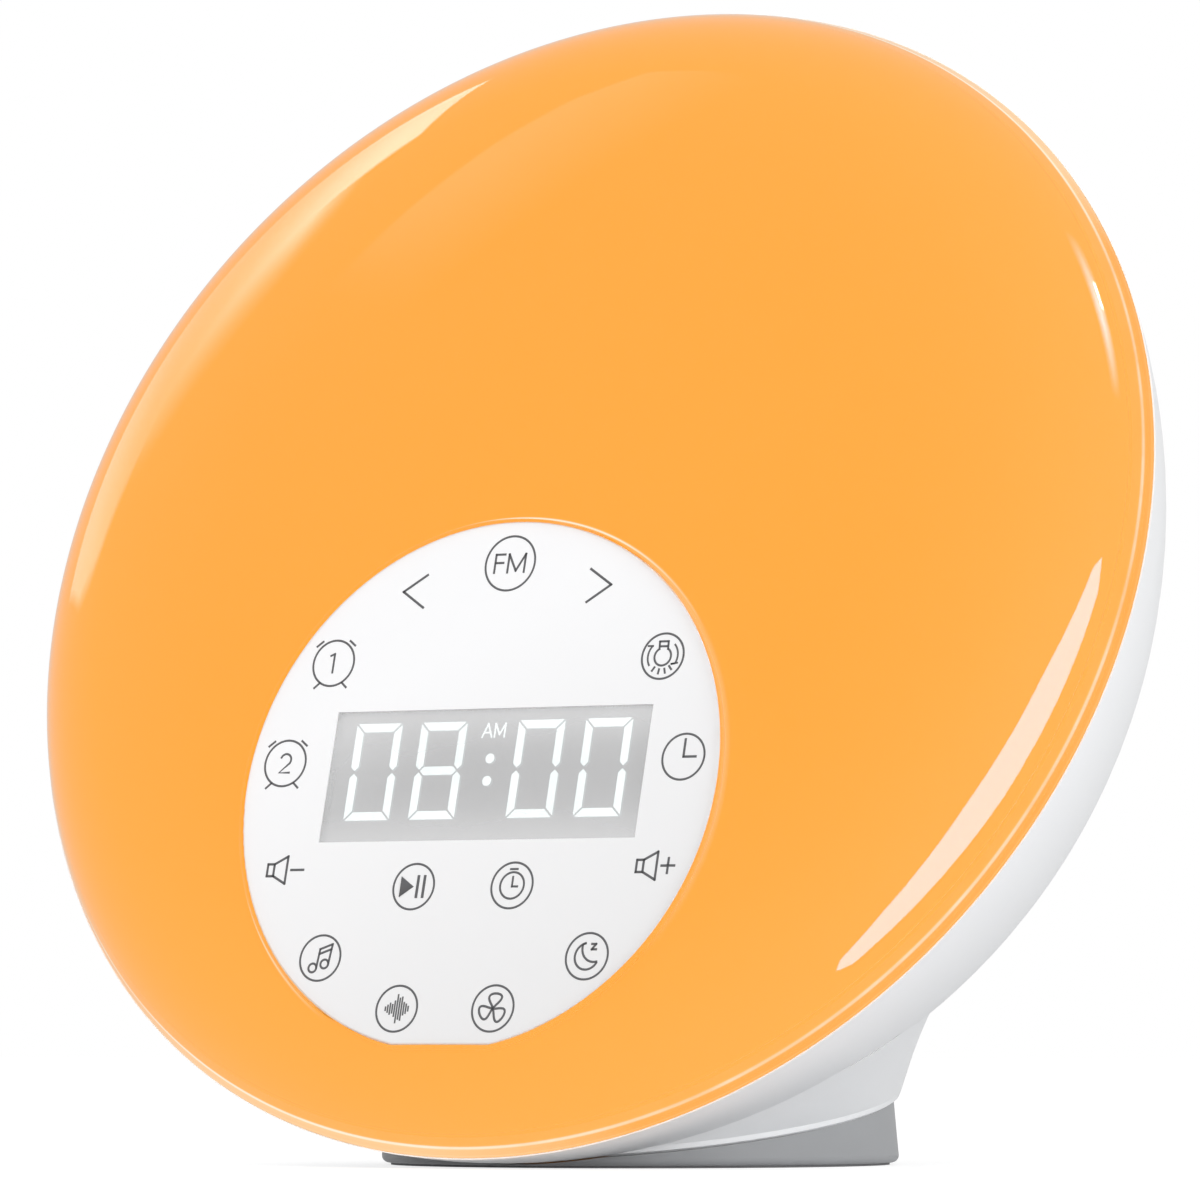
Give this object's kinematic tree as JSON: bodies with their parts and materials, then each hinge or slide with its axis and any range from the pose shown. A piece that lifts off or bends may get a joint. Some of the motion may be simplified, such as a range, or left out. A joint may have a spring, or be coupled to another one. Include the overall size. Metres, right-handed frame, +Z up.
{
  "type": "sunrise alarm clock",
  "caption": "Round sunrise alarm clock: leaning domed lamp face with a flat touch panel and clock display, on a bowl-shaped body with a slanted foot.",
  "frame": {"origin": "middle of the round face that the clock stands on", "axes": "+X to the right as seen from the front, +Y from the lamp face to the back, +Z up"},
  "size_m": [0.1748, 0.104, 0.1642],
  "materials": {
    "lens_clear": "clear polished acrylic",
    "diffuser_lit": "frosted acrylic, lit orange from behind",
    "panel_white": "smooth satin white",
    "window_grey": "smoked, polished",
    "digit_light": "lit cool white",
    "housing_grey": "moulded",
    "inner_white": "moulded, matt",
    "inner_black": "moulded, matt",
    "shell_white": "smooth moulded",
    "foot_grey": "satin moulded",
    "sole_rubber": "matt",
    "board_green": "solder mask",
    "board_white": "white solder mask",
    "led_yellow": "phosphor dome",
    "chip_black": "moulded epoxy",
    "connector_cream": "moulded",
    "can_aluminium": "sleeved can",
    "steel": "zinc plated",
    "magnet_steel": "plated",
    "cone_paper": "pressed paper",
    "cloth_black": "woven",
    "foam_black": "foam",
    "jack_black": "moulded",
    "pin_brass": "plated",
    "contact_brass": "sprung strip",
    "cell_steel": "polished"
  },
  "bodies": {
    "clock": {"aerial_gland": "foam_black", "base_foot": "foot_grey", "board_connectors": "connector_cream", "board_screws": "steel", "cell_contact_minus": "contact_brass", "cell_contact_plus": "contact_brass", "cell_holder": "inner_black", "clock_crystal": "cell_steel", "coin_cell": "cell_steel", "control_panel": "panel_white", "display_digits": "digit_light", "display_housing": "housing_grey", "display_window": "window_grey", "foot_screws": "steel", "foot_sole": "sole_rubber", "foot_weight": "steel", "frame_screws": "steel", "front_lens": "lens_clear", "inner_frame": "inner_white", "lamp_board": "board_white", "lamp_leds": "led_yellow", "lamp_screws": "steel", "light_diffuser": "diffuser_lit", "light_reflector": "inner_white", "main_board": "board_green", "main_chips": "chip_black", "panel_pod": "inner_white", "pod_screws": "steel", "power_jack": "jack_black", "power_jack_pin": "pin_brass", "rear_shell": "shell_white", "reset_switch": "chip_black", "smoothing_capacitors": "can_aluminium", "speaker_clamp": "inner_black", "speaker_cloth": "cloth_black", "speaker_frame": "steel", "speaker_gasket": "foam_black", "speaker_magnet": "magnet_steel", "speaker_screws": "steel", "speaker_surround": "foam_black", "touch_board": "board_green", "touch_chip": "chip_black", "touch_connector": "connector_cream", "touch_pads": "contact_brass", "touch_screws": "steel"},
    "battery_lid": {"battery_lid": "shell_white"},
    "reset_button": {"reset_button": "panel_white"},
    "speaker_cone": {"speaker_cone": "cone_paper"}
  },
  "joints": [
    {"name": "battery_lid_turn", "type": "hinge", "parent": "clock", "child": "battery_lid", "pos_m": [0.03, 0.03624, 0.08221], "axis": [0, 0.9317, -0.3633], "range_deg": [0, 40]},
    {"name": "reset_button_press", "type": "slide", "parent": "clock", "child": "reset_button", "axis": [0, -0.9317, 0.3633], "range_m": [0, 0.0006], "stiffness_N_per_m": 400},
    {"name": "speaker_cone_move", "type": "slide", "parent": "clock", "child": "speaker_cone", "axis": [0, -0.9317, 0.3633], "range_m": [-0.0008, 0.0008], "stiffness_N_per_m": 600}
  ]
}
